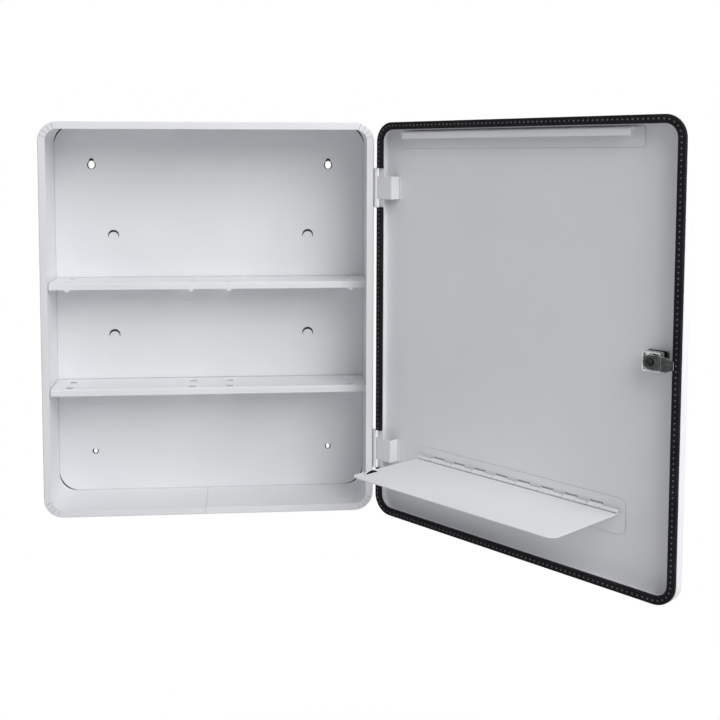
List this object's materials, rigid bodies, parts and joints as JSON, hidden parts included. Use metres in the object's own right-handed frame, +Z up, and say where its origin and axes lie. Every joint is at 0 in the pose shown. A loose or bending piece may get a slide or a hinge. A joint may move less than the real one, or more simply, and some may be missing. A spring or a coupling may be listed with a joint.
{
  "type": "lockable medicine cabinet",
  "caption": "Wall-mounted sheet steel medicine cabinet with a hinged sealed door, cam lock, shelves, hook rail and a fold-down tray.",
  "frame": {"origin": "middle of the flat back face, which lies on the wall", "axes": "+X to the right, +Y into the wall, +Z up; the door's hinge is on the +X side"},
  "size_m": [0.6825, 0.4388, 0.49],
  "materials": {
    "white": "semi-gloss white powder coat",
    "seal_rubber": "matt black rubber",
    "lock_zinc": "zinc plated, bright",
    "lock_steel": "satin steel",
    "steel": "satin steel"
  },
  "bodies": {
    "cabinet": {"body_shell": "white", "back_panel": "white", "upper_shelf": "white", "lower_shelf": "white", "upper_hinge_body_leaf": "white", "lower_hinge_body_leaf": "white", "upper_hinge_pin": "steel", "lower_hinge_pin": "steel"},
    "door": {"door_panel": "white", "door_seal": "seal_rubber", "upper_hinge_door_leaf": "white", "lower_hinge_door_leaf": "white", "hook_rail": "white", "tray_hinge_plate": "white", "tray_hinge_pin": "steel", "lock_housing": "lock_zinc", "lock_clip": "lock_zinc"},
    "fold_tray": {"tray": "white", "tray_buffer": "seal_rubber"},
    "lock": {"lock_plug": "lock_steel", "lock_cam": "lock_zinc", "cam_screw": "lock_steel"}
  },
  "joints": [
    {"name": "door_hinge", "type": "hinge", "parent": "cabinet", "child": "door", "pos_m": [0.207, -0.11, 0], "axis": [0, 0, 1], "range_deg": [-129, 46]},
    {"name": "tray_hinge", "type": "hinge", "parent": "door", "child": "fold_tray", "pos_m": [0.34252, -0.26147, -0.1645], "axis": [-0.6293, 0.7771, 0], "range_deg": [0, 88.5]},
    {"name": "lock_turn", "type": "hinge", "parent": "door", "child": "lock", "pos_m": [0.44427, -0.40619, 0], "axis": [-0.7771, -0.6293, 0], "range_deg": [0, 90]}
  ]
}
